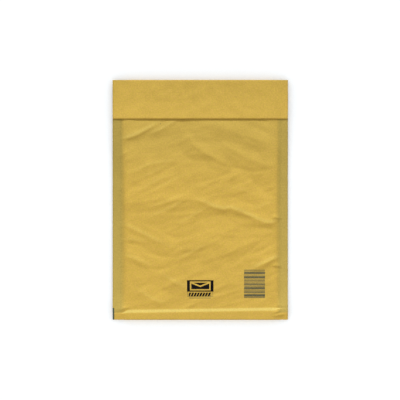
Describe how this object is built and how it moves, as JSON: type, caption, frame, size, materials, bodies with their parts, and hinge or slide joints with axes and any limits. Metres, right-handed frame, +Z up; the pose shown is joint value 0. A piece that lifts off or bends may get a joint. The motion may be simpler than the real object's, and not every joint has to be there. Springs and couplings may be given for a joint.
{
  "type": "padded envelope",
  "caption": "Kraft paper padded mailing envelope with a bubble film lining, welded side seams and a folded-down self-seal flap.",
  "frame": {"origin": "centre of the outline, on the surface that the envelope lies on", "axes": "+X across the envelope to the right as seen from the front, +Y up the envelope to the flap's fold, +Z up off the surface, through the back, the padding and the front"},
  "size_m": [0.2, 0.2736, 0.0102],
  "materials": {
    "kraft_paper": "uncoated smooth kraft, golden brown",
    "bubble_film": "clear polyethylene film, glossy",
    "adhesive": "tacky, slightly yellow hot-melt",
    "release_liner": "siliconed paper, off-white satin"
  },
  "bodies": {
    "root": {"kraft_cover": "kraft_paper", "bubble_lining": "bubble_film", "adhesive_strip": "adhesive", "release_liner": "release_liner"}
  },
  "joints": []
}
